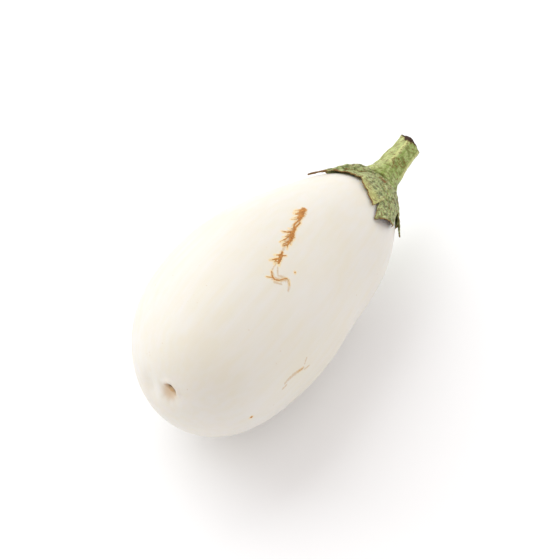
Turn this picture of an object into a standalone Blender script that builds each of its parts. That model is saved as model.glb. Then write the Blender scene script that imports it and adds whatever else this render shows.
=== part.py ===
"""White eggplant lying on its belly: the fruit, the cap of sepals on its shoulder, and the cut stem.

Metres, +Z up, with the stem end towards +Y. Every piece is first shaped along the fruit's own axis,
which starts at the blossom end, and the whole is then tilted onto its resting spot.
"""

import math

import bmesh
import bpy
from mathutils import Matrix, Vector

# Fruit: a bowed pear-like body, measured along its own axis from the blossom end to the stem end
FRUIT_LENGTH = 0.165
MEAN_RADIUS = 0.0432
TAPER = 0.0058  # added to the radius scale at the blossom end, and taken off at the stem end
END_FULLNESS = 0.0011  # fills both ends out and slims the middle
HEIGHT_RATIO = 0.97  # the body is slightly flatter than it is wide
WAIST_DEPTH = 0.0011
WAIST_AT = 0.75  # fraction of the length
WAIST_SPREAD = 0.16
BOW_SIDE = -0.0097  # how far the middle of the axis bows along X
BOW_DOWN = -0.0080  # and along Z
NECK_SHIFT = 0.0025
NECK_AT = 0.78
NECK_SPREAD = 0.14
FRUIT_RINGS = 30
FRUIT_SEGMENTS = 44

# Resting pose
REST_TILT = math.radians(6.0)  # the slimmer stem end lies lower
FLAT_DEPTH = 0.0006  # how much of the belly the resting spot presses flat

# Cap of sepals: it wraps the shoulder, and each lobe reaches down the skin to an angle from the stem end
GAP = 0.0003  # clearance between neighbouring pieces
CAP_REACH = math.radians(32.0)
CAP_THICKNESS = 0.0018
HUB_HEIGHT = 0.0055  # rise of the cap's flat middle, where the stem springs from it
HUB_FRACTION = 0.40  # share of the cap's reach that the flat middle takes
CAP_RINGS = 11
CAP_SEGMENTS = 64
LOBES = (  # direction round the axis from +X, half-width and reach, all in degrees
    (130.0, 36.0, 47.0),
    (60.0, 20.0, 47.0),
    (33.0, 22.0, 47.0),
    (4.0, 18.0, 38.0),
    (-65.0, 36.0, 44.0),
    (-145.0, 38.0, 46.0),
)

# Stem: a stalk with blunt ribs that springs from the hub and lifts away from the fruit's axis
STEM_LENGTH = 0.0268
STEM_BASE_RADIUS = 0.0068
STEM_RADIUS = 0.0059
STEM_TIP_RADIUS = 0.0061
STEM_RISE = math.radians(5.0)
STEM_SIDE = -0.0010  # the stalk stands a little off the fruit's axis
STEM_UP = 0.0016
STEM_RIBS = 5
RIB_DEPTH = 0.05  # of the radius
STEM_STATIONS = 9
STEM_SEGMENTS = 30

SKIN_COLOUR = (0.93, 0.88, 0.78)
CAP_COLOUR = (0.34, 0.42, 0.16)
STEM_COLOUR = (0.42, 0.50, 0.19)


def bell(along, centre, spread):
    """A smooth bump of height 1 at centre."""
    return math.exp(-(((along - centre) / spread) ** 2))


def axis_offset(along):
    """How far the fruit's axis bows sideways and down at a fraction of its length."""
    bow = 4.0 * along * (1.0 - along)
    side = BOW_SIDE * bow + NECK_SHIFT * bell(along, NECK_AT, NECK_SPREAD)
    return side, BOW_DOWN * bow


def radius_scale(along):
    """The body's half-width at a fraction of its length, before its ends are rounded off."""
    across = 2.0 * along - 1.0
    fullness = END_FULLNESS * (2.0 * across**2 - 1.0)
    waist = WAIST_DEPTH * bell(along, WAIST_AT, WAIST_SPREAD)
    return MEAN_RADIUS - TAPER * across + fullness - waist


def skin_point(down, turn):
    """A point on the skin: down is 0 at the stem end and pi at the blossom end, turn goes round from +X."""
    along = (1.0 + math.cos(down)) / 2.0
    radius = radius_scale(along) * math.sin(down)
    side, drop = axis_offset(along)
    x = side + radius * math.cos(turn)
    z = drop + HEIGHT_RATIO * radius * math.sin(turn)
    return Vector((x, FRUIT_LENGTH * along, z))


def skin_normal(down, turn):
    """The skin's outward direction."""
    step = 0.01
    if down < step:
        return Vector((0.0, 1.0, 0.0))
    along_skin = skin_point(down + step, turn) - skin_point(down - step, turn)
    round_skin = skin_point(down, turn + step) - skin_point(down, turn - step)
    return round_skin.cross(along_skin).normalized()


def spun(outline, segments):
    """A closed solid turned about Z from an outline of (radius, height) points that starts and ends on Z."""
    bm = bmesh.new()
    verts = [bm.verts.new((radius, 0.0, height)) for radius, height in outline]
    edges = [bm.edges.new(pair) for pair in zip(verts, verts[1:])]
    bmesh.ops.spin(
        bm,
        geom=verts + edges,
        cent=(0.0, 0.0, 0.0),
        axis=(0.0, 0.0, 1.0),
        angle=2.0 * math.pi,
        steps=segments,
        use_merge=True,
    )
    bmesh.ops.remove_doubles(bm, verts=bm.verts, dist=1e-6)
    return bm


def fruit_mesh():
    """The whole fruit as one closed skin."""
    bm = bmesh.new()
    bmesh.ops.create_uvsphere(bm, u_segments=FRUIT_SEGMENTS, v_segments=FRUIT_RINGS, radius=1.0)
    for vert in bm.verts:
        down = math.acos(max(-1.0, min(1.0, vert.co.z)))
        vert.co = skin_point(down, math.atan2(vert.co.y, vert.co.x))
    return bm


def lobe_reach(turn):
    """How far down the skin the cap's rim lies in one direction: each lobe is a pointed tooth."""
    reach = CAP_REACH
    for centre, half_width, tip in LOBES:
        away = math.remainder(turn - math.radians(centre), 2.0 * math.pi)
        share = max(0.0, 1.0 - abs(away) / math.radians(half_width))
        reach = max(reach, CAP_REACH + (math.radians(tip) - CAP_REACH) * share**0.8)
    return reach


def cap_height(outward):
    """Height of the cap's upper face above its lower one, from the edge of the hub to the rim (1)."""
    falloff = (1.0 - outward) / (1.0 - HUB_FRACTION)
    return CAP_THICKNESS * (0.45 + 0.55 * falloff) + (HUB_HEIGHT - CAP_THICKNESS) * falloff**5


def cap_point(outward, turn, upper):
    """A point of the cap, from the axis (0) to the rim (1); its middle is round and its edge is lobed."""
    down = outward * CAP_REACH + outward**3 * (lobe_reach(turn) - CAP_REACH)
    place = skin_point(down, turn)
    if not upper:
        return place + GAP * skin_normal(down, turn)
    if outward <= HUB_FRACTION:
        return Vector((place.x, FRUIT_LENGTH + GAP + HUB_HEIGHT, place.z))
    return place + (GAP + cap_height(outward)) * skin_normal(down, turn)


def cap_mesh():
    """The sepals and the hub they share: a round plate wrapped over the shoulder of the fruit."""
    steps = [ring / CAP_RINGS for ring in range(CAP_RINGS + 1)]
    under = [(outward, 0.0) for outward in steps]
    over = [(outward, 1.0) for outward in reversed(steps)]
    bm = spun(under + over, CAP_SEGMENTS)
    for vert in bm.verts:
        turn = math.atan2(vert.co.y, vert.co.x)
        vert.co = cap_point(math.hypot(vert.co.x, vert.co.y), turn, vert.co.z > 0.5)
    return bm


def stem_mesh():
    """The stalk: flared where it leaves the hub, ribbed, and cut square at its tip."""
    sides = [(1.0, step / (STEM_STATIONS - 1)) for step in range(STEM_STATIONS)]
    bm = spun([(0.0, 0.0), *sides, (0.0, 1.0)], STEM_SEGMENTS)
    foot = Vector((STEM_SIDE, FRUIT_LENGTH + 2.0 * GAP + HUB_HEIGHT, STEM_UP))
    for vert in bm.verts:
        up = vert.co.z
        turn = math.atan2(vert.co.y, vert.co.x)
        flare = (STEM_BASE_RADIUS - STEM_RADIUS) * (1.0 - up) ** 4
        widening = (STEM_TIP_RADIUS - STEM_RADIUS) * up**3
        ribbing = 1.0 + RIB_DEPTH * math.cos(STEM_RIBS * turn) * min(1.0, 3.0 * up)
        radius = (STEM_RADIUS + flare + widening) * ribbing
        across = math.hypot(vert.co.x, vert.co.y) * radius
        lean = STEM_RISE * (1.0 - (1.0 - up) ** 3)
        middle = Vector((0.0, STEM_LENGTH * up, STEM_LENGTH * up * math.sin(lean)))
        outward = Matrix.Rotation(lean, 3, "X") @ Vector((math.cos(turn), 0.0, math.sin(turn)))
        vert.co = foot + middle + across * outward
    return bm


def laid_down(bm):
    """Tilts a piece from the fruit's own axis to the pose it rests in."""
    bmesh.ops.rotate(bm, verts=bm.verts, cent=(0.0, 0.0, 0.0), matrix=Matrix.Rotation(-REST_TILT, 3, "X"))
    return bm


def press_flat(bm):
    """Cuts the resting spot into the belly and closes it with one level face; returns its height."""
    level = min(vert.co.z for vert in bm.verts) + FLAT_DEPTH
    geometry = bm.verts[:] + bm.edges[:] + bm.faces[:]
    cut = bmesh.ops.bisect_plane(
        bm, geom=geometry, plane_co=(0.0, 0.0, level), plane_no=(0.0, 0.0, 1.0), clear_inner=True
    )
    rim = [item for item in cut["geom_cut"] if isinstance(item, bmesh.types.BMEdge)]
    bmesh.ops.holes_fill(bm, edges=rim, sides=len(rim))
    return level


def material(name, colour, roughness):
    """A plain surface of one colour."""
    made = bpy.data.materials.new(name)
    made.use_nodes = True
    shader = made.node_tree.nodes["Principled BSDF"]
    shader.inputs["Base Color"].default_value = (*colour, 1.0)
    shader.inputs["Roughness"].default_value = roughness
    shader.inputs["Metallic"].default_value = 0.0
    return made


def add_piece(name, bm, surface, holder):
    """Makes one named object from a mesh, faces outwards and shaded smooth, and hangs it on the holder."""
    bmesh.ops.recalc_face_normals(bm, faces=bm.faces)
    mesh = bpy.data.meshes.new(name)
    bm.to_mesh(mesh)
    bm.free()
    mesh.materials.append(surface)
    mesh.shade_smooth()
    mesh.set_sharp_from_angle(angle=math.radians(50.0))
    piece = bpy.data.objects.new(name, mesh)
    piece.parent = holder
    bpy.context.scene.collection.objects.link(piece)
    return piece


def middle_of(pieces, axis):
    """The middle of all the pieces together along one axis."""
    places = [vert.co[axis] for piece in pieces for vert in piece.data.vertices]
    return (min(places) + max(places)) / 2.0


def build():
    """Builds the eggplant with its box centred on the origin and its resting spot on z = 0."""
    for old in list(bpy.data.objects):
        bpy.data.objects.remove(old)
    eggplant = bpy.data.objects.new("eggplant", None)
    bpy.context.scene.collection.objects.link(eggplant)

    fruit = laid_down(fruit_mesh())
    floor = press_flat(fruit)
    pieces = [
        add_piece("fruit", fruit, material("waxy skin", SKIN_COLOUR, 0.38), eggplant),
        add_piece("calyx", laid_down(cap_mesh()), material("sepal", CAP_COLOUR, 0.6), eggplant),
        add_piece("stem", laid_down(stem_mesh()), material("stalk", STEM_COLOUR, 0.55), eggplant),
    ]
    eggplant.location = (-middle_of(pieces, 0), -middle_of(pieces, 1), -floor)


build()
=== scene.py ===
"""Looks of a white eggplant: waxy skin with cork scars, a weathered cap of sepals and a cut stalk.

Metres, +Z up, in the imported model's frame, with the stem end towards +Y. Each piece is first shaped along
the fruit's own axis, from the blossom end (y = 0) to the stem end, and then laid down as the model lies.
On the skin, "down" is the angle from the stem end and "turn" the angle round the axis from +X.
"""

import logging
import math
import random
from dataclasses import dataclass
from enum import Enum

import bmesh
import bpy
import numpy as np
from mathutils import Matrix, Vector, kdtree


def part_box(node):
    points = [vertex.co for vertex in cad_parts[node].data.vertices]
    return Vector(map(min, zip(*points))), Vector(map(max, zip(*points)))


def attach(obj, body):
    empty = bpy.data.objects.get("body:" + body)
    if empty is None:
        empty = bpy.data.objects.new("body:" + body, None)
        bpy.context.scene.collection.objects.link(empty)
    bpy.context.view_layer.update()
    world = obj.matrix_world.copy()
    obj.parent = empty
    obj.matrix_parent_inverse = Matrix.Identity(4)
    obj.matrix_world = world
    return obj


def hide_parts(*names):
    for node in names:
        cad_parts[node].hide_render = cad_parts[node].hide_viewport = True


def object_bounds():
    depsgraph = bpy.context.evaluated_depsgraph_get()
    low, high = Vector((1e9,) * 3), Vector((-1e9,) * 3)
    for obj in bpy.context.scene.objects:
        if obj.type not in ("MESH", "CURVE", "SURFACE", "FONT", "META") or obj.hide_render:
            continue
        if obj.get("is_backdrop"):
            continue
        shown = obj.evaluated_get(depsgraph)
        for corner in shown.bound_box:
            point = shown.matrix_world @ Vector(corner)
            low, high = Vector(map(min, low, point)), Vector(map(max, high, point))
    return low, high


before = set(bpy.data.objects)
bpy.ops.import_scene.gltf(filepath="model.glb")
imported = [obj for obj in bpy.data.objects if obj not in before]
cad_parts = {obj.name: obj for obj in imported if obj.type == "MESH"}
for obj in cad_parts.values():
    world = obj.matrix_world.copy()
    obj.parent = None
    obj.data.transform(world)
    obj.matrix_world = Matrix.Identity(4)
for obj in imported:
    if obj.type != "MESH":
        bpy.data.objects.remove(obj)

MM = 0.001
BODY = "root"
FULL_TURN = 2.0 * math.pi
MIX_FACTOR, MIX_A, MIX_B, MIX_RESULT = 0, 6, 7, 2  # sockets of a colour Mix node

log = logging.getLogger("eggplant")
Array = np.ndarray
Knot = tuple[float, float, float]  # down and turn in degrees, half-width in millimetres


# ---------------------------------------------------------------------------------------- helpers


def colour(code: str) -> tuple[float, float, float, float]:
    """Turns an sRGB hex colour into the linear colour that a shader reads.

    Args:
        code: Six hex digits, red first.

    Returns:
        Linear red, green, blue and an alpha of 1.
    """
    shares = [int(code[start : start + 2], 16) / 255.0 for start in (0, 2, 4)]
    linear = [share / 12.92 if share <= 0.04045 else ((share + 0.055) / 1.055) ** 2.4 for share in shares]
    return (*linear, 1.0)


def add_node(
    tree: bpy.types.NodeTree, kind: str, inputs: dict | None = None, **settings: object
) -> bpy.types.Node:
    """Adds a node, sets it up and links or fills its inputs.

    Args:
        tree: The node tree it goes into.
        kind: Blender's name for the node type.
        inputs: What each input gets, by name or index: a socket to link, or a value.
        **settings: The node's own properties.

    Returns:
        The new node.
    """
    node = tree.nodes.new(kind)
    for name, value in settings.items():
        setattr(node, name, value)
    for name, value in (inputs or {}).items():
        if isinstance(value, bpy.types.NodeSocket):
            tree.links.new(value, node.inputs[name])
        else:
            node.inputs[name].default_value = value
    return node


def new_material(name: str) -> tuple[bpy.types.Material, bpy.types.NodeTree, bpy.types.Node]:
    """Makes an empty node material.

    Args:
        name: The material's name.

    Returns:
        The material, its node tree and its Principled shader.
    """
    made = bpy.data.materials.new(name)
    made.use_nodes = True
    tree = made.node_tree
    return made, tree, tree.nodes["Principled BSDF"]


def smooth_step(low: float, high: float, value: Array) -> Array:
    """Rises smoothly from 0 at low to 1 at high."""
    share = np.clip((value - low) / (high - low), 0.0, 1.0)
    return share * share * (3.0 - 2.0 * share)


def bell(value: Array, centre: float, spread: float) -> Array:
    """A smooth bump of height 1 at centre."""
    return np.exp(-(((value - centre) / spread) ** 2))


def unit(vectors: Array) -> Array:
    """Scales each vector to a length of 1."""
    return vectors / np.maximum(np.linalg.norm(vectors, axis=-1, keepdims=True), 1e-12)


def wave_noise(points: Array, size: float, seed: int, waves: int = 14) -> Array:
    """Smooth noise made of seeded plane waves.

    Args:
        points: Places, one row each.
        size: Rough width of one bump, in the points' own unit.
        seed: What the waves are drawn from.
        waves: How many waves are added up.

    Returns:
        A value from about -1 to 1 for each place.
    """
    draw = random.Random(seed)
    total = np.zeros(len(points))
    for _ in range(waves):
        way = unit(np.array([draw.gauss(0.0, 1.0) for _ in range(points.shape[1])]))
        pitch = math.pi / size * draw.uniform(0.6, 1.5)
        total += np.sin(points @ way * pitch + draw.uniform(0.0, FULL_TURN))
    return total / math.sqrt(waves)


def spun(outline: list[tuple[float, float]], segments: int) -> bmesh.types.BMesh:
    """Turns an outline about Z into a closed solid.

    Args:
        outline: Points as (radius, height), from the axis round to the axis again.
        segments: Steps round the axis.

    Returns:
        The solid.
    """
    bm = bmesh.new()
    verts = [bm.verts.new((radius, 0.0, height)) for radius, height in outline]
    edges = [bm.edges.new(pair) for pair in zip(verts, verts[1:])]
    bmesh.ops.spin(
        bm,
        geom=verts + edges,
        cent=(0.0, 0.0, 0.0),
        axis=(0.0, 0.0, 1.0),
        angle=FULL_TURN,
        steps=segments,
        use_merge=True,
    )
    bmesh.ops.remove_doubles(bm, verts=bm.verts, dist=1e-6)
    return bm


def vert_places(bm: bmesh.types.BMesh) -> Array:
    """The places of a bmesh's vertices, one row each."""
    return np.array([vert.co for vert in bm.verts], float).reshape(-1, 3)


def move_verts(bm: bmesh.types.BMesh, places: Array) -> None:
    """Moves a bmesh's vertices to new places, one row each."""
    for vert, place in zip(bm.verts, places):
        vert.co = place


def to_piece(
    name: str,
    bm: bmesh.types.BMesh,
    material: bpy.types.Material,
    node: str,
    fields: dict[str, Array],
) -> bpy.types.Object:
    """Makes a shown piece from a bmesh, hangs it on the body and hides the CAD node it stands for.

    Args:
        name: The piece's name.
        bm: Its shape, in the model's frame; it is freed.
        material: Its finish.
        node: The CAD node it stands for.
        fields: Values for the finish to read, one row for each vertex.

    Returns:
        The piece.
    """
    bmesh.ops.recalc_face_normals(bm, faces=bm.faces)
    mesh = bpy.data.meshes.new(name)
    bm.to_mesh(mesh)
    bm.free()
    for label, values in fields.items():
        is_vector = values.ndim == 2
        kind = "FLOAT_VECTOR" if is_vector else "FLOAT"
        layer = mesh.attributes.new(label, kind, "POINT")
        layer.data.foreach_set("vector" if is_vector else "value", values.astype(np.float32).ravel())
    mesh.materials.append(material)
    mesh.shade_smooth()
    piece = bpy.data.objects.new(name, mesh)
    bpy.context.scene.collection.objects.link(piece)
    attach(piece, BODY)
    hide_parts(node)
    log.info("%s: %d vertices, %d faces", name, len(mesh.vertices), len(mesh.polygons))
    return piece


# ---------------------------------------------------------------------------------------- the form


@dataclass(frozen=True)
class FruitShape:
    """The smooth form of the fruit, and how it lies."""

    length: float = 0.165
    mean_radius: float = 0.0432
    taper: float = 0.0058
    end_fullness: float = 0.0011
    height_ratio: float = 0.97
    waist_depth: float = 0.0011
    waist_at: float = 0.75
    waist_spread: float = 0.16
    bow_side: float = -0.0097
    bow_down: float = -0.0080
    neck_shift: float = 0.0025
    neck_at: float = 0.78
    neck_spread: float = 0.14
    tilt: float = math.radians(6.0)

    def half_width(self, along: Array) -> Array:
        """The half-width at a fraction of the length, before the ends are rounded off."""
        across = 2.0 * along - 1.0
        fullness = self.end_fullness * (2.0 * across**2 - 1.0)
        waist = self.waist_depth * bell(along, self.waist_at, self.waist_spread)
        return self.mean_radius - self.taper * across + fullness - waist

    def skin(self, down: Array, turn: Array) -> Array:
        """Points of the smooth skin.

        Args:
            down: Angles from the stem end, in radians.
            turn: Angles round the axis, in radians.

        Returns:
            The points, along the fruit's own axis, one row each.
        """
        along = (1.0 + np.cos(down)) / 2.0
        radius = self.half_width(along) * np.sin(down)
        bow = 4.0 * along * (1.0 - along)
        side = self.bow_side * bow + self.neck_shift * bell(along, self.neck_at, self.neck_spread)
        x = side + radius * np.cos(turn)
        z = self.bow_down * bow + self.height_ratio * radius * np.sin(turn)
        return np.stack([x, self.length * along, z], axis=-1)

    def outward(self, down: Array, turn: Array) -> Array:
        """Outward directions of the smooth skin, one row each."""
        step = 0.004
        down = np.clip(down, 2.0 * step, math.pi - 2.0 * step)
        along_skin = self.skin(down + step, turn) - self.skin(down - step, turn)
        round_skin = self.skin(down, turn + step) - self.skin(down, turn - step)
        return unit(np.cross(round_skin, along_skin))

    def above(self, down: Array, turn: Array, height: Array) -> Array:
        """Points at a height above the smooth skin, one row each."""
        return self.skin(down, turn) + self.outward(down, turn) * np.asarray(height)[..., None]

    def at(self, down: float, turn: float) -> Array:
        """One point of the smooth skin, from angles in degrees."""
        return self.skin(np.array(math.radians(down)), np.array(math.radians(turn)))

    def tilted(self, points: Array) -> Array:
        """Turns points from the fruit's own axis to the way it lies."""
        cosine, sine = math.cos(self.tilt), math.sin(self.tilt)
        x, y, z = points[..., 0], points[..., 1], points[..., 2]
        return np.stack([x, cosine * y + sine * z, cosine * z - sine * y], axis=-1)

    def resting_shift(self, node: str) -> Array:
        """How far the tilted form moves to lie where its CAD node lies.

        Args:
            node: The CAD node of the fruit.

        Returns:
            The move in x, y and z.
        """
        down, turn = np.meshgrid(np.linspace(0.01, math.pi - 0.01, 181), np.linspace(0.0, FULL_TURN, 240))
        points = self.tilted(self.skin(down.ravel(), turn.ravel()))
        low, high = (np.array(corner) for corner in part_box(node))
        shift = (low + high) / 2.0 - (points.min(0) + points.max(0)) / 2.0
        shift[2] = high[2] - points[:, 2].max()
        return shift


# ---------------------------------------------------------------------------------------- finishes


@dataclass(frozen=True)
class SkinFinish:
    """Waxy rind of a white eggplant: grown, smooth and slightly see-through, so its shade stays soft and warm."""

    ivory: str = "e3e0da"
    cream: str = "e2ddd0"
    speck: str = "cdb594"
    halo: str = "efd6a2"
    cork_light: str = "cf9350"
    cork_dark: str = "99602c"
    stain: str = "cdb08a"
    hollow: str = "c9a066"
    # slit: brown scar tissue darkened with painted shade where the slit runs in under the lip
    slit: str = "2a1a10"

    def build(self) -> bpy.types.Material:
        """Makes the material.

        Returns:
            The finished material.
        """
        made, tree, shader = new_material("waxy eggplant rind")
        place = add_node(tree, "ShaderNodeTexCoord").outputs["Object"]
        field = {
            label: add_node(tree, "ShaderNodeAttribute", attribute_name=label).outputs["Fac"]
            for label in ("cork", "halo", "stain", "hollow", "slit")
        }

        # Cloudy patches 25 mm across, and faint lengthwise streaks 3 mm wide
        clouds = add_node(tree, "ShaderNodeTexNoise", {"Vector": place, "Scale": 1.0 / 0.025, "Detail": 3.0})
        stretched = add_node(
            tree, "ShaderNodeMapping", {"Vector": place, "Scale": (1.0 / 0.003, 1.0 / 0.03, 1.0 / 0.003)}
        )
        streaks = add_node(
            tree, "ShaderNodeTexNoise", {"Vector": stretched.outputs[0], "Scale": 1.0, "Detail": 2.0}
        )
        patch = add_node(
            tree,
            "ShaderNodeMath",
            {0: clouds.outputs[0], 1: streaks.outputs[0]},
            operation="ADD",
        )
        share = add_node(
            tree, "ShaderNodeMapRange", {"Value": patch.outputs[0], "From Min": 0.75, "From Max": 1.25}
        )
        rind = add_node(
            tree,
            "ShaderNodeMix",
            {MIX_FACTOR: share.outputs[0], MIX_A: colour(self.ivory), MIX_B: colour(self.cream)},
            data_type="RGBA",
        )

        # Tan specks under half a millimetre, a few to the square centimetre
        cells = add_node(tree, "ShaderNodeTexVoronoi", {"Vector": place, "Scale": 1.0 / 0.0042})
        speck = add_node(
            tree,
            "ShaderNodeMapRange",
            {"Value": cells.outputs["Distance"], "From Min": 0.11, "From Max": 0.03, "To Max": 0.55},
        )
        rarity = add_node(tree, "ShaderNodeTexNoise", {"Vector": place, "Scale": 1.0 / 0.009, "Detail": 1.0})
        rare = add_node(
            tree, "ShaderNodeMapRange", {"Value": rarity.outputs[0], "From Min": 0.58, "From Max": 0.68}
        )
        specks = add_node(
            tree, "ShaderNodeMath", {0: speck.outputs[0], 1: rare.outputs[0]}, operation="MULTIPLY"
        )
        specked = add_node(
            tree,
            "ShaderNodeMix",
            {MIX_FACTOR: specks.outputs[0], MIX_A: rind.outputs[MIX_RESULT], MIX_B: colour(self.speck)},
            data_type="RGBA",
        )

        # Scars: a crumbly edge, 0.6 mm grains, breaks up the drawn strokes
        grain = add_node(
            tree,
            "ShaderNodeTexNoise",
            {"Vector": place, "Scale": 1.0 / 0.0009, "Detail": 4.0, "Roughness": 0.7},
        )
        frayed = {}
        for label in ("cork", "stain"):
            frayed[label] = add_node(
                tree,
                "ShaderNodeMath",
                {0: grain.outputs[0], 1: 2.6, 2: field[label]},
                operation="MULTIPLY_ADD",
            ).outputs[0]
        cork = add_node(
            tree,
            "ShaderNodeMapRange",
            {"Value": frayed["cork"], "From Min": 1.3, "From Max": 1.75},
            interpolation_type="SMOOTHSTEP",
        ).outputs[0]
        stain = add_node(
            tree,
            "ShaderNodeMapRange",
            {"Value": frayed["stain"], "From Min": 1.1, "From Max": 2.2, "To Max": 0.7},
            interpolation_type="SMOOTHSTEP",
        ).outputs[0]
        halo = add_node(
            tree,
            "ShaderNodeMapRange",
            {"Value": field["halo"], "From Min": 0.0, "From Max": 0.65, "To Max": 0.75},
            interpolation_type="SMOOTHSTEP",
        ).outputs[0]
        cork_grain = add_node(
            tree, "ShaderNodeMapRange", {"Value": grain.outputs[0], "From Min": 0.36, "From Max": 0.62}
        )
        cork_tone = add_node(
            tree,
            "ShaderNodeMix",
            {MIX_FACTOR: cork_grain.outputs[0], MIX_A: colour(self.cork_dark), MIX_B: colour(self.cork_light)},
            data_type="RGBA",
        )
        layer = specked.outputs[MIX_RESULT]
        for factor, tone in (
            (halo, colour(self.halo)),
            (stain, colour(self.stain)),
            (cork, cork_tone.outputs[MIX_RESULT]),
            (field["hollow"], colour(self.hollow)),
            # the slit: painted shade under the lip, over brown scar tissue
            (field["slit"], colour(self.slit)),
        ):
            layer = add_node(
                tree, "ShaderNodeMix", {MIX_FACTOR: factor, MIX_A: layer, MIX_B: tone}, data_type="RGBA"
            ).outputs[MIX_RESULT]
        tree.links.new(layer, shader.inputs["Base Color"])

        # The wax is smooth, and the cork dry and rough
        rough = add_node(
            tree, "ShaderNodeMapRange", {"Value": cork, "From Max": 1.0, "To Min": 0.42, "To Max": 0.8}
        )
        tree.links.new(rough.outputs[0], shader.inputs["Roughness"])
        shader.inputs["IOR"].default_value = 1.45
        shader.inputs["Specular IOR Level"].default_value = 0.35
        shader.inputs["Subsurface Weight"].default_value = 0.25
        shader.inputs["Subsurface Radius"].default_value = (1.0, 0.72, 0.5)
        shader.inputs["Subsurface Scale"].default_value = 4.0 * MM

        # Fine pores 0.5 mm apart, and the cork's crumbs
        pores = add_node(
            tree, "ShaderNodeTexNoise", {"Vector": place, "Scale": 1.0 / 0.0012, "Detail": 3.0}
        )
        pore_bump = add_node(
            tree,
            "ShaderNodeBump",
            {"Height": pores.outputs[0], "Strength": 0.08, "Distance": 0.1 * MM},
        )
        crumbs = add_node(
            tree, "ShaderNodeMath", {0: grain.outputs[0], 1: cork}, operation="MULTIPLY"
        )
        bump = add_node(
            tree,
            "ShaderNodeBump",
            {
                "Height": crumbs.outputs[0],
                "Strength": 0.6,
                "Distance": 0.35 * MM,
                "Normal": pore_bump.outputs[0],
            },
        )
        tree.links.new(bump.outputs[0], shader.inputs["Normal"])
        return made


@dataclass(frozen=True)
class GreenFinish:
    """Leafy green tissue: grown, fibrous, mottled, and dried brown along its edges, so it looks matt and patchy."""

    name: str
    pale: str
    green: str
    deep: str
    yellow: str
    brown: str
    dark: str
    fibre: float  # width of one fibre, in metres
    blotch: float  # width of one blotch, in metres

    def build(self) -> bpy.types.Material:
        """Makes the material, which reads the piece's own fields.

        Returns:
            The finished material.
        """
        made, tree, shader = new_material(self.name)
        place = add_node(tree, "ShaderNodeTexCoord").outputs["Object"]
        flow = add_node(tree, "ShaderNodeAttribute", attribute_name="flow").outputs["Vector"]
        field = {
            label: add_node(tree, "ShaderNodeAttribute", attribute_name=label).outputs["Fac"]
            for label in ("yellow", "dry", "dark")
        }

        # Fibres run along the growth, ten times as long as they are wide
        along = add_node(
            tree,
            "ShaderNodeMapping",
            {"Vector": flow, "Scale": (1.0 / self.fibre, 0.1 / self.fibre, 1.0 / self.fibre)},
        )
        fibres = add_node(
            tree, "ShaderNodeTexNoise", {"Vector": along.outputs[0], "Scale": 1.0, "Detail": 3.0}
        )
        blotches = add_node(
            tree,
            "ShaderNodeTexNoise",
            {"Vector": place, "Scale": 1.0 / self.blotch, "Detail": 4.0, "Roughness": 0.62},
        )
        fibre_share = add_node(
            tree, "ShaderNodeMapRange", {"Value": fibres.outputs[0], "From Min": 0.35, "From Max": 0.66}
        )
        blotch_share = add_node(
            tree,
            "ShaderNodeMapRange",
            {"Value": blotches.outputs[0], "From Min": 0.45, "From Max": 0.6},
            interpolation_type="SMOOTHSTEP",
        )
        layer = add_node(
            tree,
            "ShaderNodeMix",
            {MIX_FACTOR: fibre_share.outputs[0], MIX_A: colour(self.green), MIX_B: colour(self.pale)},
            data_type="RGBA",
        ).outputs[MIX_RESULT]

        # Small brown flecks gather where the tissue is worn
        worn = add_node(
            tree,
            "ShaderNodeTexNoise",
            {"Vector": place, "Scale": 1.0 / 0.0011, "Detail": 3.0, "Roughness": 0.6},
        )
        fleck = add_node(
            tree,
            "ShaderNodeMapRange",
            {"Value": worn.outputs[0], "From Min": 0.53, "From Max": 0.62, "To Max": 0.85},
        )
        frayed = {}
        for label in ("dry", "dark"):
            sum_ = add_node(
                tree,
                "ShaderNodeMath",
                {0: worn.outputs[0], 1: 0.9, 2: field[label]},
                operation="MULTIPLY_ADD",
            )
            frayed[label] = add_node(
                tree,
                "ShaderNodeMapRange",
                {"Value": sum_.outputs[0], "From Min": 0.8, "From Max": 1.1},
                interpolation_type="SMOOTHSTEP",
            ).outputs[0]
        for factor, tone in (
            (blotch_share.outputs[0], self.deep),
            # yellow: paler tissue, and on the stalk also a painted light band on the side facing the key lamp
            (field["yellow"], self.yellow),
            (fleck.outputs[0], self.brown),
            (frayed["dry"], self.brown),
            # dark: dried dark tissue, and painted shade on the lower face of a curled sepal
            (frayed["dark"], self.dark),
        ):
            layer = add_node(
                tree,
                "ShaderNodeMix",
                {MIX_FACTOR: factor, MIX_A: layer, MIX_B: colour(tone)},
                data_type="RGBA",
            ).outputs[MIX_RESULT]
        tree.links.new(layer, shader.inputs["Base Color"])

        rough = add_node(
            tree,
            "ShaderNodeMapRange",
            {"Value": frayed["dry"], "From Max": 1.0, "To Min": 0.5, "To Max": 0.85},
        )
        tree.links.new(rough.outputs[0], shader.inputs["Roughness"])
        shader.inputs["IOR"].default_value = 1.42
        shader.inputs["Specular IOR Level"].default_value = 0.35
        shader.inputs["Subsurface Weight"].default_value = 0.12
        shader.inputs["Subsurface Radius"].default_value = (0.6, 1.0, 0.3)
        shader.inputs["Subsurface Scale"].default_value = 1.0 * MM

        fibre_bump = add_node(
            tree,
            "ShaderNodeBump",
            {"Height": fibres.outputs[0], "Strength": 0.8, "Distance": 0.35 * MM},
        )
        bump = add_node(
            tree,
            "ShaderNodeBump",
            {
                "Height": worn.outputs[0],
                "Strength": 0.7,
                "Distance": 0.45 * MM,
                "Normal": fibre_bump.outputs[0],
            },
        )
        tree.links.new(bump.outputs[0], shader.inputs["Normal"])
        return made


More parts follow.
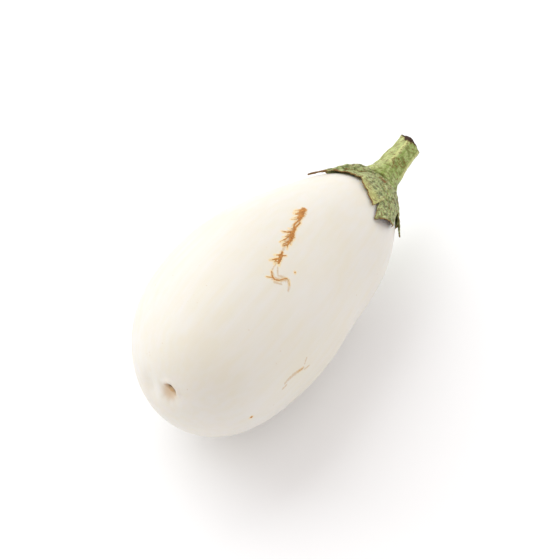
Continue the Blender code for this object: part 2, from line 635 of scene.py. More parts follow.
SEPAL_FINISH = GreenFinish(
    name="weathered sepal",
    pale="bcc78e",
    green="909a5e",
    deep="616c3a",
    yellow="cfc97c",
    brown="7f5f38",
    # dark also serves as painted shade under a curled sepal's tip
    dark="46302a",
    fibre=0.8 * MM,
    blotch=2.0 * MM,
)
STALK_FINISH = GreenFinish(
    name="fibrous green stalk",
    pale="b3c07e",
    green="8aa050",
    deep="78863f",
    # yellow also paints light on the side of the stalk that faces the key lamp
    yellow="d6d795",
    brown="7c6a38",
    dark="3d2a20",
    fibre=0.7 * MM,
    blotch=3.0 * MM,
)


# ---------------------------------------------------------------------------------------- fruit


class Tone(Enum):
    """How strongly a scar marks the skin."""

    CORK = "cork"
    STAIN = "stain"


@dataclass(frozen=True)
class Stroke:
    """One healed scratch: the line it follows, and its width on the way."""

    tone: Tone
    knots: tuple[Knot, ...]


@dataclass(frozen=True)
class Scar:
    """A group of strokes that lie together on the skin."""

    strokes: tuple[Stroke, ...]
    margin: float = 3.0  # degrees of skin round the strokes that get the finer mesh

    def window(self) -> tuple[float, float, float, float]:
        """The lowest and highest down and turn of the scar with its margin, in degrees."""
        knots = [knot for stroke in self.strokes for knot in stroke.knots]
        downs, turns = [knot[0] for knot in knots], [knot[1] for knot in knots]
        gap = self.margin
        return min(downs) - gap, max(downs) + gap, min(turns) - gap, max(turns) + gap


LONG_SCAR = Scar(
    (
        Stroke(Tone.CORK, ((72.6, 85.4, 1.5), (74.6, 83.4, 1.9), (76.6, 81.8, 1.4), (78.6, 80.2, 0.7))),
        Stroke(Tone.CORK, ((78.3, 80.6, 0.5), (81.0, 80.2, 0.4), (82.6, 78.4, 0.5))),
        Stroke(Tone.CORK, ((79.0, 78.6, 0.5), (81.9, 78.0, 0.5), (83.7, 77.0, 0.7))),
        Stroke(Tone.CORK, ((83.7, 77.0, 0.9), (85.2, 75.8, 1.3), (87.2, 74.2, 1.1), (90.4, 73.0, 0.3))),
        Stroke(Tone.CORK, ((84.0, 77.0, 0.6), (85.4, 78.6, 0.5), (86.4, 82.0, 0.2))),
        Stroke(Tone.CORK, ((85.1, 76.0, 0.6), (89.5, 77.2, 0.2))),
        Stroke(Tone.CORK, ((88.0, 74.0, 0.5), (91.0, 75.6, 0.2))),
        Stroke(Tone.CORK, ((93.6, 72.6, 0.5), (95.8, 71.2, 1.2), (98.2, 69.6, 0.4))),
        Stroke(Tone.CORK, ((95.0, 71.4, 0.5), (93.8, 69.4, 0.3))),
        Stroke(Tone.CORK, ((96.6, 71.4, 0.6), (98.0, 72.2, 0.3))),
        Stroke(Tone.CORK, ((102.2, 69.6, 0.25), (103.6, 67.2, 0.35), (104.0, 65.0, 0.4), (102.9, 62.6, 0.3))),
        Stroke(Tone.CORK, ((102.9, 62.6, 0.3), (101.2, 61.2, 0.25), (100.3, 60.0, 0.3), (100.3, 58.4, 0.2))),
        Stroke(Tone.CORK, ((100.3, 58.4, 0.2), (101.4, 56.4, 0.15))),
        Stroke(Tone.CORK, ((105.2, 69.6, 0.2), (103.9, 66.6, 0.3))),
        Stroke(Tone.CORK, ((96.2, 59.0, 0.35), (96.4, 58.8, 0.35))),
        Stroke(Tone.STAIN, ((78.0, 81.5, 1.2), (84.5, 77.5, 1.6), (91.0, 74.0, 1.2))),
        Stroke(Tone.STAIN, ((91.0, 74.0, 0.8), (94.0, 72.4, 0.9))),
        Stroke(Tone.STAIN, ((98.6, 70.6, 0.4), (101.6, 69.8, 0.5))),
        Stroke(Tone.STAIN, ((99.4, 68.6, 0.4), (101.4, 65.8, 0.5))),
        Stroke(Tone.STAIN, ((101.8, 64.6, 0.9), (100.6, 61.0, 1.0))),
        Stroke(Tone.STAIN, ((104.8, 64.2, 0.7), (103.4, 60.2, 0.6))),
        Stroke(Tone.STAIN, ((102.2, 69.6, 0.6), (104.0, 66.0, 1.2), (102.4, 62.0, 1.3), (100.3, 59.4, 1.0))),
        Stroke(Tone.STAIN, ((100.3, 59.4, 0.9), (101.6, 56.2, 0.8), (103.2, 54.6, 0.6))),
    )
)
SIDE_SCAR = Scar(
    (
        Stroke(Tone.STAIN, ((112.0, 8.4, 1.0), (116.0, 9.6, 1.3), (120.4, 9.4, 0.9), (121.8, 8.4, 0.7))),
        Stroke(Tone.STAIN, ((121.2, 6.0, 0.6), (123.2, 5.0, 0.6))),
        Stroke(Tone.STAIN, ((111.2, 6.4, 0.6), (108.8, 6.0, 0.6))),
        Stroke(Tone.STAIN, ((110.8, 10.6, 0.6), (109.6, 13.4, 0.6))),
        Stroke(Tone.CORK, ((112.4, 8.6, 0.2), (114.8, 9.2, 0.15))),
    )
)


def frayed(scar: Scar, seed: int) -> Scar:
    """Adds the short fibres that fray a healed scratch, mostly towards its upper side.

    Args:
        scar: The scar as drawn.
        seed: What the fibres are drawn from.

    Returns:
        The scar with its fibres.
    """
    draw = random.Random(seed)
    fibres = []
    for stroke in scar.strokes:
        for start, end in zip(stroke.knots, stroke.knots[1:]):
            if stroke.tone is not Tone.CORK or max(start[2], end[2]) < 0.6:
                continue
            for _ in range(6):
                share = draw.random()
                down = start[0] + (end[0] - start[0]) * share
                turn = start[1] + (end[1] - start[1]) * share
                width = start[2] + (end[2] - start[2]) * share
                side = draw.choice((1.0, 1.0, -0.6))
                root = (down, turn + 0.9 * width * side, 0.28)
                tip = (down + draw.uniform(0.2, 1.9), turn + side * (width * 1.3 + draw.uniform(0.5, 2.4)), 0.08)
                fibres.append(Stroke(Tone.CORK, (root, tip)))
    return Scar((*scar.strokes, *fibres), scar.margin)


DOT_SCAR = Scar((Stroke(Tone.CORK, ((139.1, -7.6, 0.7), (139.3, -7.4, 0.7))),))


@dataclass(frozen=True)
class Swelling:
    """A broad local fullness of the skin."""

    down: float
    turn: float
    spread: float
    height: float


@dataclass
class Fruit:
    """The fruit: one closed skin with a puckered blossom end, healed scars and a pressed resting spot."""

    form: FruitShape
    shift: Array
    segments: int = 224
    rings: int = 190
    crowding: float = 0.25  # spacing of the rings at the blossom end, as a share of the even spacing
    dimple: tuple[float, float] = (172.2, 113.0)
    slit: tuple[float, float] = (168.9, 99.0)
    valley: tuple[float, float] = (165.0, 170.0)
    hollow_depth: float = 3.4 * MM
    scars: tuple[Scar, ...] = (frayed(LONG_SCAR, seed=12), SIDE_SCAR, DOT_SCAR)
    swellings: tuple[Swelling, ...] = (
        Swelling(138.0, 160.0, 17.0 * MM, -0.7 * MM),
        Swelling(169.0, 240.0, 14.0 * MM, 0.8 * MM),
        Swelling(94.0, -10.0, 16.0 * MM, 0.7 * MM),
    )

    def ball(self) -> bmesh.types.BMesh:
        """A ball whose rings crowd round the blossom dimple, finer where the scars lie.

        Returns:
            The ball, as directions from the fruit's middle.
        """
        bm = bmesh.new()
        bmesh.ops.create_uvsphere(bm, u_segments=self.segments, v_segments=self.rings, radius=1.0)
        down, turn = (math.radians(angle) for angle in self.dimple)
        pole = Vector((math.sin(down) * math.cos(turn), math.sin(down) * math.sin(turn), math.cos(down)))
        swing = Vector((0.0, 0.0, -1.0)).rotation_difference(pole)
        for vert in bm.verts:
            share = math.acos(max(-1.0, min(1.0, -vert.co.z))) / math.pi
            angle = math.pi * share * (self.crowding + (1.0 - self.crowding) * share)
            way = math.atan2(vert.co.y, vert.co.x)
            side = math.sin(angle)
            vert.co = swing @ Vector((side * math.cos(way), side * math.sin(way), -math.cos(angle)))
        for scar in self.scars:
            low_down, high_down, low_turn, high_turn = scar.window()
            inside = set()
            for vert in bm.verts:
                vert_down = math.degrees(math.acos(max(-1.0, min(1.0, vert.co.z))))
                vert_turn = math.degrees(math.atan2(vert.co.y, vert.co.x))
                if low_down < vert_down < high_down and low_turn < vert_turn < high_turn:
                    inside.add(vert)
            edges = [edge for edge in bm.edges if edge.verts[0] in inside and edge.verts[1] in inside]
            bmesh.ops.subdivide_edges(bm, edges=edges, cuts=3, use_grid_fill=True)
        return bm

    def closeness(self, places: Array, tone: Tone, margin: float = 0.0) -> Array:
        """How close each place is to the strokes of one tone: 1 on the line, 0 at its edge, down to -1.

        Args:
            places: Points on the smooth skin.
            tone: Which strokes count.
            margin: How much wider than drawn each stroke is taken to be, in metres.

        Returns:
            One value for each place.
        """
        best = np.full(len(places), -1.0)
        for scar in self.scars:
            for stroke in scar.strokes:
                if stroke.tone is not tone:
                    continue
                for start, end in zip(stroke.knots, stroke.knots[1:]):
                    first, last = self.form.at(*start[:2]), self.form.at(*end[:2])
                    line = last - first
                    share = np.clip((places - first) @ line / max(line @ line, 1e-12), 0.0, 1.0)
                    gap = np.linalg.norm(places - first - share[:, None] * line, axis=1)
                    width = margin + MM * (start[2] + (end[2] - start[2]) * share)
                    best = np.maximum(best, 1.0 - gap / width)
        return best

    def blossom_relief(self, places: Array) -> tuple[Array, Array, Array]:
        """The puckered dimple where the blossom was.

        Args:
            places: Points on the smooth skin.

        Returns:
            The relief's height, how far each point is in the hollow, and in the slit.
        """
        centre, slit = self.form.at(*self.dimple), self.form.at(*self.slit)
        normal = self.form.outward(*(np.array(math.radians(angle)) for angle in self.dimple))
        gap = slit - centre
        ahead = gap / np.linalg.norm(gap)
        reach = np.linalg.norm(gap)
        across = np.cross(normal, ahead)
        along, side = (places - centre) @ ahead, (places - centre) @ across
        radius = np.hypot(along, side)
        near = places[:, 1] < 0.25 * self.form.length
        facing = smooth_step(0.05, 0.75, along / np.maximum(radius, 1e-9))
        floor = 0.4 + 0.6 * (np.minimum(radius, reach) / reach) ** 2
        wall = np.exp(-((np.maximum(radius - reach, 0.0) / (0.5 * MM)) ** 2))
        height = -self.hollow_depth * (facing * floor * wall + (1.0 - facing) * 0.4 * bell(radius, 0.0, 4.2 * MM))
        height += 0.55 * MM * facing * bell(radius, reach + 1.6 * MM, 1.1 * MM)
        pucker = np.cos(9.0 * np.arctan2(side, along) + 1.5) * bell(radius, 4.4 * MM, 1.8 * MM)
        valley = np.linalg.norm(places - self.form.at(*self.valley), axis=1)
        height += 0.08 * MM * pucker - 0.6 * MM * bell(radius, 0.0, 6.0 * MM) - 1.8 * MM * bell(valley, 0.0, 5.2 * MM)
        hollow = np.exp(-((radius / (1.15 * reach)) ** 3)) * (0.7 + 0.3 * facing)
        ahead_only = smooth_step(0.35, 0.8, along / np.maximum(radius, 1e-9))
        # Painted shade: a dark band just inside the lip, where the slit's wall lies hidden under it
        slit_shade = ahead_only * bell(radius, reach - 0.55 * MM, 0.6 * MM)
        return height * near, hollow * near, slit_shade * near

    def build(self) -> bpy.types.Object:
        """Makes the fruit.

        Returns:
            The finished piece.
        """
        bm = self.ball()
        ways = unit(vert_places(bm))
        down, turn = np.arccos(np.clip(ways[:, 2], -1.0, 1.0)), np.arctan2(ways[:, 1], ways[:, 0])
        smooth = self.form.skin(down, turn)
        height, hollow, slit = self.blossom_relief(smooth)
        cork, stain = self.closeness(smooth, Tone.CORK), self.closeness(smooth, Tone.STAIN)
        height += 0.16 * MM * smooth_step(-0.2, 0.5, cork)
        height += 0.16 * MM * wave_noise(smooth, 24.0 * MM, seed=5)
        height += 0.02 * MM * wave_noise(smooth, 5.0 * MM, seed=9)
        for swelling in self.swellings:
            gap = np.linalg.norm(smooth - self.form.at(swelling.down, swelling.turn), axis=1)
            height += swelling.height * bell(gap, 0.0, swelling.spread)
        places = self.form.tilted(smooth + self.form.outward(down, turn) * height[:, None]) + self.shift
        rounding = 0.3 * MM
        places[:, 2] = (places[:, 2] + np.hypot(places[:, 2], rounding)) / 2.0
        move_verts(bm, places)
        halo = self.closeness(smooth, Tone.CORK, margin=0.9 * MM)
        fields = {
            "cork": cork,
            "halo": halo,
            "stain": stain,
           "hollow": 0.85 * hollow,
            # painted shade of the slit under the lip, over brown scar tissue
            "slit": np.clip(1.4 * slit, 0.0, 1.0),
        }
        return to_piece("fruit_skin", bm, SkinFinish().build(), "fruit", fields)


# ---------------------------------------------------------------------------------------- cap


@dataclass(frozen=True)
class Sepal:
    """One lobe of the cap. Angles are in degrees, widths, heights and thickness in metres."""

    root_turn: float
    tip_turn: float
    tip_down: float
    half_width: float
    tip_half_width: float
    rise: float  # height of its tip above the skin
    arch: float  # how much its middle stands above its edges
    end_arch: float  # the same at its tip
    fold: float  # how much its edges turn down towards the tip
    dryness: float  # share of its length that has turned brown, from the tip
    shape: float = 1.0  # above 1 keeps it wide for longer
    root_down: float = 9.0
    skew: float = 0.0  # how much further the side of higher turn reaches, in degrees
    thickness: float = 0.9 * MM
    # underside: painted shade on the lower face towards the tip, so a curled end shows a dark opening
    underside_shade: float = 0.0  # how dark its lower face is towards the tip


@dataclass(frozen=True)
class RimKey:
    """How far the fused middle of the cap reaches in one direction, in degrees, and how yellow it is."""

    turn: float
    reach: float
    yellow: float = 0.0
    lift: float = 0.3 * MM


@dataclass
class Calyx:
    """The cap: a fused collar that flares into the stalk, and sepals that lie on or lift off the skin."""

    form: FruitShape
    shift: Array
    voxel: float = 0.24 * MM
    clearance: float = 0.25 * MM
    flare_height: float = 6.0 * MM
    flare_spread: float = 14.0  # degrees
    collar_thickness: float = 1.1 * MM
    crusts: tuple[tuple[float, float, float], ...] = (  # down and turn in degrees, and radius in metres
        (19.0, 68.0, 2.4 * MM),
        (20.0, 52.0, 1.8 * MM),
        (36.0, 33.0, 1.4 * MM),
    )
    rim: tuple[RimKey, ...] = (
        RimKey(-180.0, 33.0),
        RimKey(-145.0, 37.0),
        RimKey(-105.0, 27.0),
        RimKey(-65.0, 36.0),
        RimKey(-28.0, 26.0),
        RimKey(4.0, 31.0),
        RimKey(16.0, 30.0),
        RimKey(33.0, 36.0),
        RimKey(47.0, 37.0, 0.2),
        RimKey(52.0, 43.5, 0.7),
        RimKey(55.5, 49.5, 0.9),
        RimKey(59.0, 47.0, 1.0),
        RimKey(65.0, 45.5, 1.0),
        RimKey(75.0, 42.0, 0.9),
        RimKey(82.0, 38.5, 0.5),
        RimKey(90.0, 37.5, 0.1),
        RimKey(115.0, 38.0),
        RimKey(132.0, 37.0),
        RimKey(158.0, 29.0),
    )
    sepals: tuple[Sepal, ...] = (
        Sepal(107.0, 130.5, 47.0, 8.2 * MM, 0.35 * MM, 0.4 * MM, 2.9 * MM, 0.0, 0.0, 0.16, shape=0.55),
        Sepal(
            38.0, 38.0, 49.5, 7.6 * MM, 5.8 * MM, 0.7 * MM, 1.8 * MM, 1.9 * MM, 1.2 * MM, 0.0,
            shape=1.4, skew=4.0, underside_shade=0.9,
        ),
        Sepal(10.0, 3.0, 39.5, 6.0 * MM, 0.5 * MM, 1.4 * MM, 0.8 * MM, 0.0, 0.0, 0.0, shape=1.3),
        Sepal(-65.0, -66.0, 45.0, 8.0 * MM, 0.35 * MM, 0.8 * MM, 1.0 * MM, 0.0, 0.0, 0.06),
        Sepal(-145.0, -143.0, 46.0, 8.5 * MM, 0.35 * MM, 1.2 * MM, 1.2 * MM, 0.0, 0.0, 0.08),
    )

    def flare(self, down: Array) -> Array:
        """How far the cap swells up towards the stalk."""
        return self.flare_height * bell(down, 0.0, math.radians(self.flare_spread))

    def slab(self, columns: int, rows: int) -> tuple[bmesh.types.BMesh, Array, Array, Array]:
        """A flat closed slab to be shaped.

        Args:
            columns: Steps along it.
            rows: Steps across it.

        Returns:
            The slab, and for each vertex how far along it is from 0 to 1, how far across from -1 to 1, and
            whether it is on the lower face, as 0 or 1.
        """
        bm = bmesh.new()
        bmesh.ops.create_grid(bm, x_segments=columns, y_segments=rows, size=1.0)
        grown = bmesh.ops.extrude_face_region(bm, geom=bm.faces[:])
        lower = [item for item in grown["geom"] if isinstance(item, bmesh.types.BMVert)]
        bmesh.ops.translate(bm, verts=lower, vec=(0.0, 0.0, -1.0))
        flat = vert_places(bm)
        return bm, (flat[:, 0] + 1.0) / 2.0, flat[:, 1], -flat[:, 2]

    def samples(
        self, places: Array, edge: Array, yellow: Array, dry: Array, dark: Array, flow: Array
    ) -> list[tuple[Array, Array]]:
        """Pairs each place with the finish's values there: edge distance, yellow, dry, dark and flow."""
        return list(zip(places, np.column_stack([edge, yellow, dry, dark, flow])))

    def collar(self) -> tuple[bmesh.types.BMesh, list[tuple[Array, Array]]]:
        """The fused middle of the cap.

        Returns:
            Its shape, and samples for the finish.
        """
        bm, out, across, lower = self.slab(60, 420)
        turn = math.pi * across
        keys = [*self.rim, RimKey(180.0, self.rim[0].reach)]
        turns = [math.radians(key.turn) for key in keys]
        reach = np.radians(np.interp(turn, turns, [key.reach for key in keys]))
        yellow = np.interp(turn, turns, [key.yellow for key in keys])
        lift = np.interp(turn, turns, [key.lift for key in keys])
        ring = np.column_stack([np.cos(turn), np.sin(turn)])
        ragged = np.radians(0.7) * wave_noise(ring, 0.07, seed=21) * smooth_step(-180.0, -179.0, across)
        down = out * (reach + ragged)
        ruffle = 0.25 * MM * wave_noise(ring, 0.16, seed=23) * out**3
        ruffle += 0.2 * MM * wave_noise(np.column_stack([ring, out]), 0.12, seed=25) * smooth_step(0.2, 0.5, out)
        ruffle += 0.22 * MM * wave_noise(ring, 0.10, seed=27) * smooth_step(0.15, 0.4, out)
        height = self.clearance + self.collar_thickness + self.flare(down) + lift * out**4 + ruffle
        height -= self.collar_thickness * (1.0 - 0.45 * out) * lower
        seam = [face for face in bm.faces if all(abs(vert.co.y) > 1.0 - 1e-6 for vert in face.verts)]
        bmesh.ops.delete(bm, geom=seam, context="FACES_ONLY")
        places = self.form.above(down, turn, height)
        move_verts(bm, places)
        bmesh.ops.remove_doubles(bm, verts=bm.verts, dist=1e-6)
        edge = (1.0 - out) * reach * self.form.mean_radius
        flow = np.column_stack([turn * 0.02, down * self.form.mean_radius])
        dry = 0.75 * np.exp(-edge / (0.9 * MM))
        dark = 0.3 * np.exp(-edge / (0.4 * MM))
        amount = 0.6 * yellow * smooth_step(0.8, 0.97, out)
        return bm, self.samples(places, edge, amount, dry, dark, flow)

    def lobe(self, sepal: Sepal) -> tuple[bmesh.types.BMesh, list[tuple[Array, Array]]]:
        """One sepal as a thin sheet.

        Args:
            sepal: Its sizes.

        Returns:
            Its shape, and samples for the finish.
        """
        bm, along, across, lower = self.slab(110, 36)
        down = np.radians(
            sepal.root_down + (sepal.tip_down - sepal.root_down) * along + sepal.skew * across * along**2
        )
        middle = np.radians(sepal.root_turn + (sepal.tip_turn - sepal.root_turn) * along**2)
        narrowing = np.cos(math.pi / 2.0 * along**sepal.shape)
        half = sepal.tip_half_width + (sepal.half_width - sepal.tip_half_width) * narrowing
        ring = self.form.half_width((1.0 + np.cos(down)) / 2.0) * np.sin(down)
        wobble = 1.0 + 0.10 * wave_noise(np.column_stack([along, across * 0.2]), 0.12, seed=31)
        turn = middle + across * half * wobble / ring
        crown = (1.0 - across**2) * (sepal.arch * bell(along, 0.42, 0.27) + sepal.end_arch * along**3)
        midrib = 0.35 * MM * bell(across, 0.0, 0.16) * (1.0 - along)
        edge_turn = sepal.fold * across**4 * along**2
        wrinkle = np.column_stack([along * 2.0, across])
        ruffle = 0.22 * MM * wave_noise(wrinkle, 0.15, seed=33) + 0.25 * MM * wave_noise(wrinkle, 0.45, seed=35)
        height = self.clearance + sepal.thickness + self.flare(down) + sepal.rise * along**3
        height = height + crown + midrib + ruffle - edge_turn
        thickness = sepal.thickness * (1.0 - 0.55 * along) * (1.0 - 0.3 * across**2)
        height = np.maximum(height - thickness * lower, self.clearance * (1.0 - 0.5 * lower))
        places = self.form.above(down, turn, height)
        move_verts(bm, places)
        length = np.radians(sepal.tip_down - sepal.root_down) * self.form.mean_radius
        edge = np.minimum((1.0 - np.abs(across)) * half, (1.0 - along) * length)
        dry = smooth_step(1.0 - sepal.dryness - 0.1, 1.0 - sepal.dryness + 0.05, along)
        dry = np.maximum(dry, 0.65 * np.exp(-edge / (0.8 * MM)))
        # Darker at the very tip, and painted shade on the lower face of a curled sepal towards its tip
        dark = 0.2 * smooth_step(0.97, 1.0, along) + sepal.underside_shade * lower * smooth_step(0.5, 0.8, along)
        flow = np.column_stack([across * half, down * self.form.mean_radius])
        return bm, self.samples(places, edge, 0.0 * along, dry, dark, flow)

    def joined(self, shells: list[bmesh.types.BMesh]) -> bmesh.types.BMesh:
        """Grows the shells into one skin.

        Args:
            shells: The closed shells; they are freed.

        Returns:
            One closed bmesh.
        """
        gathered = bpy.data.meshes.new("calyx_shells")
        whole = bmesh.new()
        for shell in shells:
            part = bpy.data.meshes.new("calyx_shell")
            shell.to_mesh(part)
            shell.free()
            whole.from_mesh(part)
            bpy.data.meshes.remove(part)
        whole.to_mesh(gathered)
        whole.free()
        holder = bpy.data.objects.new("calyx_shells", gathered)
        bpy.context.scene.collection.objects.link(holder)
        remesh = holder.modifiers.new("grow together", "REMESH")
        remesh.mode = "VOXEL"
        remesh.voxel_size = self.voxel
        evaluated = holder.evaluated_get(bpy.context.evaluated_depsgraph_get())
        grown = bpy.data.meshes.new_from_object(evaluated)
        bpy.data.objects.remove(holder)
        bm = bmesh.new()
        bm.from_mesh(grown)
        bpy.data.meshes.remove(grown)
        bpy.data.meshes.remove(gathered)
        for _ in range(3):
            bmesh.ops.smooth_vert(bm, verts=bm.verts, factor=0.5, use_axis_x=True, use_axis_y=True, use_axis_z=True)
        return bm

    def build(self) -> bpy.types.Object:
        """Makes the cap.

        Returns:
            The finished piece.
        """
        shells, notes = [], []
        collar, collar_notes = self.collar()
        shells.append(collar)
        notes += collar_notes
        for sepal in self.sepals:
            sheet, sheet_notes = self.lobe(sepal)
            shells.append(sheet)
            notes += sheet_notes
        bm = self.joined(shells)
        tree = kdtree.KDTree(len(notes))
        for index, (place, _) in enumerate(notes):
            tree.insert(Vector(place), index)
        tree.balance()
        found = np.array([notes[tree.find(vert.co)[1]][1] for vert in bm.verts])
        grown = vert_places(bm)
        dry = found[:, 2]
        for down, turn, radius in self.crusts:
            angles = np.array(math.radians(down)), np.array(math.radians(turn))
            lifted = self.clearance + self.collar_thickness + self.flare(angles[0])
            gap = np.linalg.norm(grown - self.form.above(*angles, lifted), axis=1)
            dry = np.maximum(dry, 0.9 * bell(gap, 0.0, radius))
        move_verts(bm, self.form.tilted(grown) + self.shift)
        fields = {
            "yellow": found[:, 1],
            "dry": dry,
            "dark": found[:, 3],
            "flow": np.column_stack([found[:, 4:6], np.zeros(len(found))]),
        }
        return to_piece("calyx_cap", bm, SEPAL_FINISH.build(), "calyx", fields)


# ---------------------------------------------------------------------------------------- stem


@dataclass(frozen=True)
class StalkMark:
    """An oval leaf scar on the stalk: its place along and round it, and its radii in metres."""

    up: float
    turn: float
    long_radius: float
    short_radius: float


@dataclass
class Stem:
    """The stalk: angular, flared into the cap, and cut aslant at a dried tip."""

    form: FruitShape
    shift: Array
    length: float = 0.0268
    base_radius: float = 0.0084
    radius: float = 0.0059
    tip_radius: float = 0.0061
    rise: float = math.radians(5.0)
    side: float = -0.0010
    up: float = 0.0016
    foot: float = 0.0061  # the stalk's foot above the fruit's end
    ribs: int = 5
    rib_turn: float = math.radians(86.0)
    rib_depth: float = 0.07
    slant: float = 0.34  # how much the cut leans, as a slope
    buried: float = 0.16  # share of its length that is sunk in the cap
    marks: tuple[StalkMark, ...] = (
        StalkMark(0.35, 66.0, 2.6 * MM, 1.7 * MM),
        StalkMark(0.44, 38.0, 1.9 * MM, 1.2 * MM),
    )
    segments: int = 120
    stations: int = 110

    def build(self) -> bpy.types.Object:
        """Makes the stalk.

        Returns:
            The finished piece.
        """
        steps = [step / (self.stations - 1) for step in range(self.stations)]
        sides = [(1.0, (1.0 + self.buried) * step - self.buried) for step in steps]
        tip = [(0.93, 1.012), (0.86, 1.006), (0.78, 0.985), (0.6, 0.975), (0.35, 0.972), (0.0, 0.97)]
        bm = spun([(0.0, -self.buried), *sides, *tip], self.segments)
        flat = vert_places(bm)
        up, turn = flat[:, 2], np.arctan2(flat[:, 1], flat[:, 0])
        share = np.hypot(flat[:, 0], flat[:, 1])
        rising = np.clip(up, 0.0, 1.0)
        flare = (self.base_radius - self.radius) * (1.0 - rising) ** 2.2 + 1.4 * MM * smooth_step(0.12, -0.1, up)
        widening = (self.tip_radius - self.radius) * rising**3
        angle = self.ribs * (turn - self.rib_turn)
        ribbing = 1.0 + self.rib_depth * (np.cos(angle) + 0.25 * np.cos(2.0 * angle)) * smooth_step(-0.1, 0.3, up)
        ring = np.column_stack([np.cos(turn), np.sin(turn), up * self.length / self.radius])
        relief = 0.2 * MM * wave_noise(ring, 0.9, seed=41) + 0.08 * MM * wave_noise(ring, 0.3, seed=43)
        ring_share, pit_share = np.zeros(len(flat)), np.zeros(len(flat))
        for mark in self.marks:
            round_gap = (turn - math.radians(mark.turn)) * self.radius / mark.short_radius
            long_gap = (up - mark.up) * self.length / mark.long_radius
            gap = np.hypot(round_gap, long_gap)
            ring_share = np.maximum(ring_share, bell(gap, 1.0, 0.34))
            pit_share = np.maximum(pit_share, bell(gap, 0.0, 0.8))
        relief = relief + 0.22 * MM * ring_share - 0.2 * MM * pit_share
        lean = self.rise * (1.0 - (1.0 - rising) ** 3)
        radius = (self.radius + flare + widening) * ribbing + relief
        out = share * radius
        middle_z = self.length * up * np.sin(lean)
        aslant = -self.slant * out * np.cos(turn) * np.clip(up, 0.0, 1.1) ** 5
        ragged = 0.25 * MM * wave_noise(ring[:, :2], 0.25, seed=45) * smooth_step(0.93, 1.0, up)
        x = self.side + out * np.cos(turn)
        y = self.form.length + self.foot + self.length * up - out * np.sin(turn) * np.sin(lean) + aslant + ragged
        z = self.up + middle_z + out * np.sin(turn) * np.cos(lean)
        move_verts(bm, self.form.tilted(np.column_stack([x, y, z])) + self.shift)

        face = smooth_step(0.97, 0.9, share) * smooth_step(0.9, 0.96, up)
        from_tip = (1.0 - up) * self.length
        rim = smooth_step(0.8, 0.92, share) * np.exp(-np.maximum(from_tip, 0.0) / (0.9 * MM))
        patch_turn = np.radians(94.0)
        patch = bell(np.abs(np.angle(np.exp(1j * (turn - patch_turn)))), 0.0, 0.5)
        patch = 1.2 * patch * bell(np.maximum(from_tip, 0.0), 0.0, 3.4 * MM) * (share > 0.8)
        dark = np.clip(0.75 * rim + 0.8 * patch, 0.0, 1.0)
        dry = np.clip(0.5 * ring_share + 0.4 * pit_share + 0.8 * face + 0.9 * rim + patch, 0.0, 1.0)
        yellow = 0.75 * bell(np.cos(angle), 1.0, 0.25) * smooth_step(0.1, 0.3, up)
        # Painted light: a paler band down the side of the stalk that faces the key lamp
        yellow = np.maximum(yellow, 0.45 * bell(turn, math.radians(122.0), math.radians(26.0)))
        flow = np.column_stack([turn * self.radius, up * self.length, share * self.radius])
        fields = {"yellow": yellow, "dry": dry, "dark": dark, "flow": flow}
        return to_piece("stem_stalk", bm, STALK_FINISH.build(), "stem", fields)


# ---------------------------------------------------------------------------------------- studio


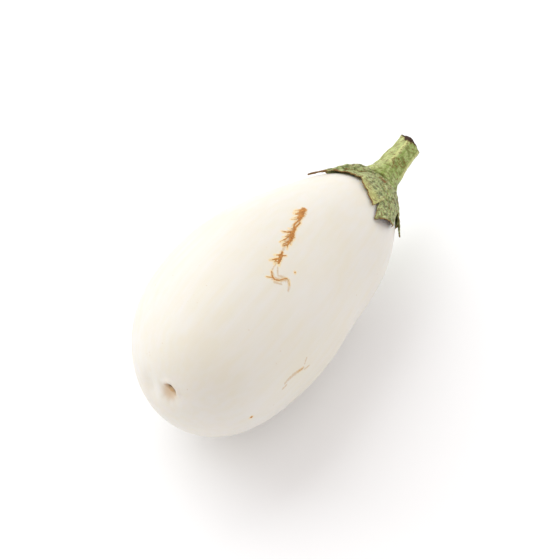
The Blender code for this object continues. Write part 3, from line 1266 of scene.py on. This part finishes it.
@dataclass(frozen=True)
class Studio:
    """A plain pale floor in soft light, and the camera."""

    floor_size: float = 12.0
    floor_colour: str = "fbfcff"
    world_colour: str = "fff9f5"
    world_strength: float = 0.785
    key_way: tuple[float, float, float] = (-0.72, 0.12, 0.70)
    lamp_distance: float = 1.7
    lamp_colour: str = "faffff"
    key_size: float = 2.2
    key_power: float = 25.0
    fill_way: tuple[float, float, float] = (0.55, 0.80, 0.25)
    fill_size: float = 1.2
    fill_power: float = 5.0
    camera_azimuth: float = math.radians(32.92)
    camera_elevation: float = math.radians(49.70)
    camera_distance: float = 1.0279
    camera_aim: tuple[float, float, float] = (0.0014, -0.0031, -0.0036)  # from the middle of the model
    camera_lens: float = 147.2

    def floor(self) -> bpy.types.Object:
        """Makes the floor.

        Returns:
            The floor.
        """
        bm = bmesh.new()
        bmesh.ops.create_grid(bm, x_segments=1, y_segments=1, size=self.floor_size / 2.0)
        mesh = bpy.data.meshes.new("floor")
        bm.to_mesh(mesh)
        bm.free()
        made, _, shader = new_material("matt white backdrop paper")
        shader.inputs["Base Color"].default_value = colour(self.floor_colour)
        shader.inputs["Roughness"].default_value = 0.95
        shader.inputs["Specular IOR Level"].default_value = 0.1
        mesh.materials.append(made)
        floor = bpy.data.objects.new("floor", mesh)
        bpy.context.scene.collection.objects.link(floor)
        floor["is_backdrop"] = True
        return floor

    def lamp(self, name: str, middle: Vector, way: tuple[float, float, float], size: float, power: float) -> None:
        """Hangs one soft lamp that faces the model.

        Args:
            name: The lamp's name.
            middle: The middle of the model.
            way: The direction from there to the lamp.
            size: The side of its square face.
            power: Its power in watts.
        """
        panel = bpy.data.lights.new(name, "AREA")
        panel.size = size
        panel.energy = power
        panel.color = colour(self.lamp_colour)[:3]
        lamp = bpy.data.objects.new(name, panel)
        direction = Vector(way).normalized()
        lamp.location = middle + direction * self.lamp_distance
        lamp.rotation_euler = direction.to_track_quat("Z", "Y").to_euler()
        bpy.context.scene.collection.objects.link(lamp)

    def light(self, middle: Vector) -> None:
        """Sets the pale surroundings, a large key lamp and a weak fill lamp.

        Args:
            middle: The middle of the model.
        """
        world = bpy.data.worlds.new("pale studio")
        world.use_nodes = True
        background = world.node_tree.nodes["Background"]
        background.inputs["Color"].default_value = colour(self.world_colour)
        background.inputs["Strength"].default_value = self.world_strength
        bpy.context.scene.world = world
        self.lamp("key", middle, self.key_way, self.key_size, self.key_power)
        self.lamp("fill", middle, self.fill_way, self.fill_size, self.fill_power)
        bpy.context.scene.view_settings.view_transform = "Standard"

    def camera(self, middle: Vector) -> None:
        """Places the camera.

        Args:
            middle: The middle of the model.
        """
        lens = bpy.data.cameras.new("camera")
        lens.lens = self.camera_lens
        lens.sensor_width = 36.0
        level = math.cos(self.camera_elevation)
        back = Vector(
            (
                math.sin(self.camera_azimuth) * level,
                -math.cos(self.camera_azimuth) * level,
                math.sin(self.camera_elevation),
            )
        )
        viewer = bpy.data.objects.new("camera", lens)
        viewer.location = middle + Vector(self.camera_aim) + back * self.camera_distance
        viewer.rotation_euler = back.to_track_quat("Z", "Y").to_euler()
        bpy.context.scene.collection.objects.link(viewer)
        bpy.context.scene.camera = viewer


def main() -> None:
    """Builds the eggplant and its studio."""
    logging.basicConfig(level=logging.INFO, format="%(name)s: %(message)s")
    cad_low, cad_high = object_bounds()
    middle = (cad_low + cad_high) / 2.0
    form = FruitShape()
    shift = form.resting_shift("fruit")
    for part in (Fruit(form, shift), Calyx(form, shift), Stem(form, shift)):
        piece = part.build()
        log.info("%s is dressed in %s", piece.name, piece.data.materials[0].name)
    studio = Studio()
    studio.floor()
    studio.light(middle)
    studio.camera(middle)


if __name__ == "__main__":
    main()
